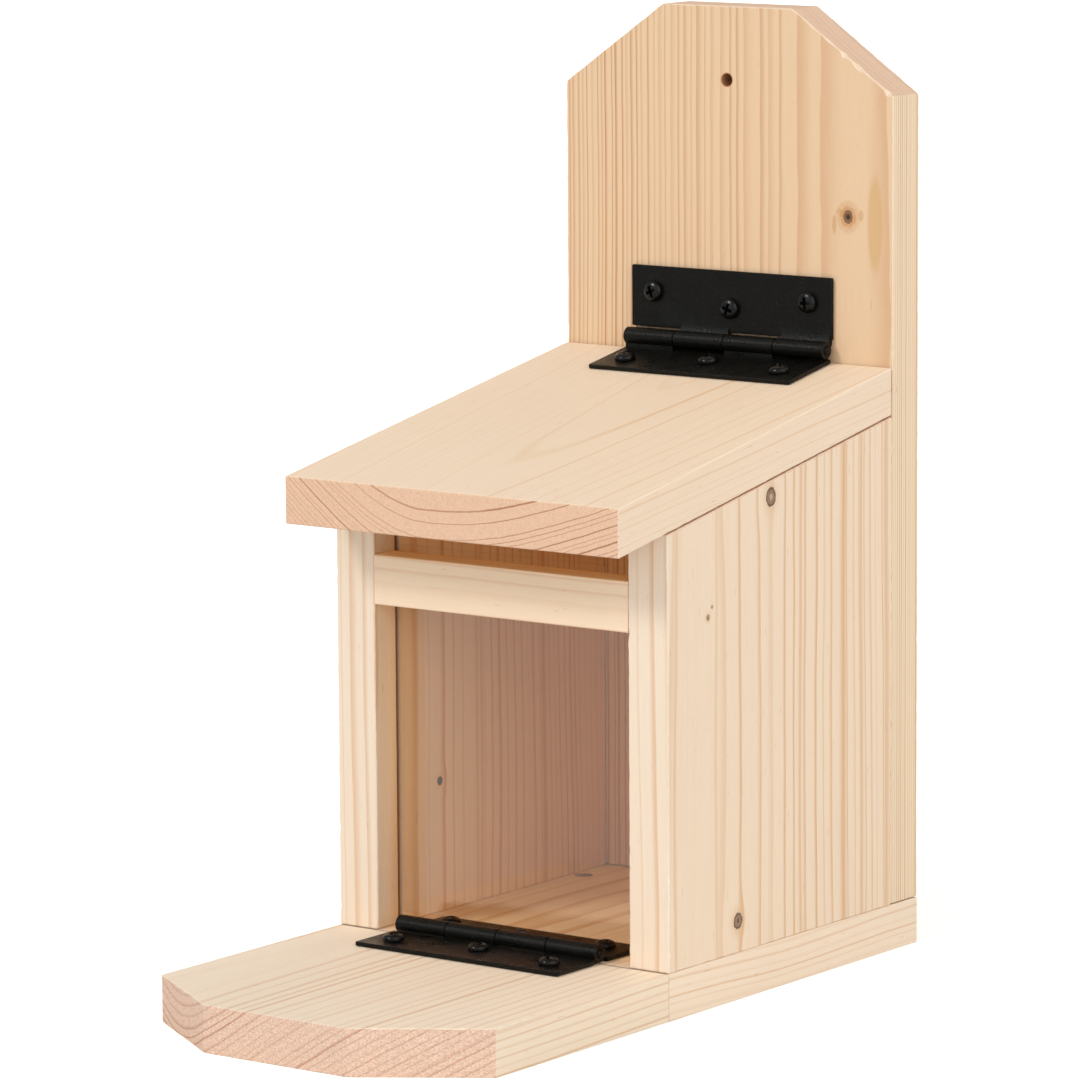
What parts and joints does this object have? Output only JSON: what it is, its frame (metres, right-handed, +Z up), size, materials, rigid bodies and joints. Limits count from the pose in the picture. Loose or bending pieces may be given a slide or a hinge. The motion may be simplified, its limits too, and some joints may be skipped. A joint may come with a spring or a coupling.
{
  "type": "squirrel feeder",
  "caption": "Wooden garden feeder with a tall back board, hinged sloping lid, clear sliding window and hinged fold-up landing board.",
  "frame": {"origin": "on the ground, under the middle of the whole feeder with its landing board folded down", "axes": "+Z up along the back board, -Y towards the landing board at the front, +X to the feeder's right seen from the front"},
  "size_m": [0.125, 0.247, 0.295],
  "materials": {
    "box_wood": "planed bare spruce",
    "lid_wood": "planed bare spruce",
    "landing_wood": "planed bare spruce",
    "dowel_wood": "bare beech dowel",
    "clear_acrylic": "clear, polished",
    "black_hinge_steel": "satin black",
    "black_screw_steel": "glossy black",
    "zinc_screw_steel": "bright zinc plate"
  },
  "bodies": {
    "housing": {"floor_board": "box_wood", "back_board": "box_wood", "side_panel_left": "box_wood", "side_panel_right": "box_wood", "front_rail": "box_wood", "rail_dowel_left": "dowel_wood", "rail_dowel_right": "dowel_wood", "lid_hinge_back_leaf": "black_hinge_steel", "lid_hinge_pin": "black_hinge_steel", "lid_hinge_back_screw_1": "black_screw_steel", "lid_hinge_back_screw_2": "black_screw_steel", "lid_hinge_back_screw_3": "black_screw_steel", "landing_hinge_floor_leaf": "black_hinge_steel", "landing_hinge_pin": "black_hinge_steel", "landing_hinge_floor_screw_1": "black_screw_steel", "landing_hinge_floor_screw_2": "black_screw_steel", "landing_hinge_floor_screw_3": "black_screw_steel", "back_board_screw_1": "zinc_screw_steel", "back_board_screw_2": "zinc_screw_steel", "back_board_screw_3": "zinc_screw_steel", "back_board_screw_4": "zinc_screw_steel", "floor_side_screw_1": "zinc_screw_steel", "floor_side_screw_2": "zinc_screw_steel", "floor_side_screw_3": "zinc_screw_steel", "floor_side_screw_4": "zinc_screw_steel", "floor_back_screw_1": "zinc_screw_steel", "floor_back_screw_2": "zinc_screw_steel"},
    "lid": {"lid_board": "lid_wood", "lid_hinge_lid_leaf": "black_hinge_steel", "lid_hinge_lid_screw_1": "black_screw_steel", "lid_hinge_lid_screw_2": "black_screw_steel", "lid_hinge_lid_screw_3": "black_screw_steel"},
    "landing": {"landing_board": "landing_wood", "landing_hinge_landing_leaf": "black_hinge_steel", "landing_hinge_landing_screw_1": "black_screw_steel", "landing_hinge_landing_screw_2": "black_screw_steel", "landing_hinge_landing_screw_3": "black_screw_steel"},
    "window": {"window_pane": "clear_acrylic"}
  },
  "joints": [
    {"name": "lid_hinge", "type": "hinge", "parent": "housing", "child": "lid", "pos_m": [0.0023, 0.10485, 0.1891], "axis": [-1, 0, 0], "range_deg": [0, 102]},
    {"name": "landing_hinge", "type": "hinge", "parent": "housing", "child": "landing", "pos_m": [-0.0009, -0.01275, 0.0178], "axis": [-1, 0, 0], "range_deg": [0, 90]},
    {"name": "window_slide", "type": "slide", "parent": "housing", "child": "window", "axis": [0, 0, 1], "range_m": [0, 0.0155]}
  ]
}
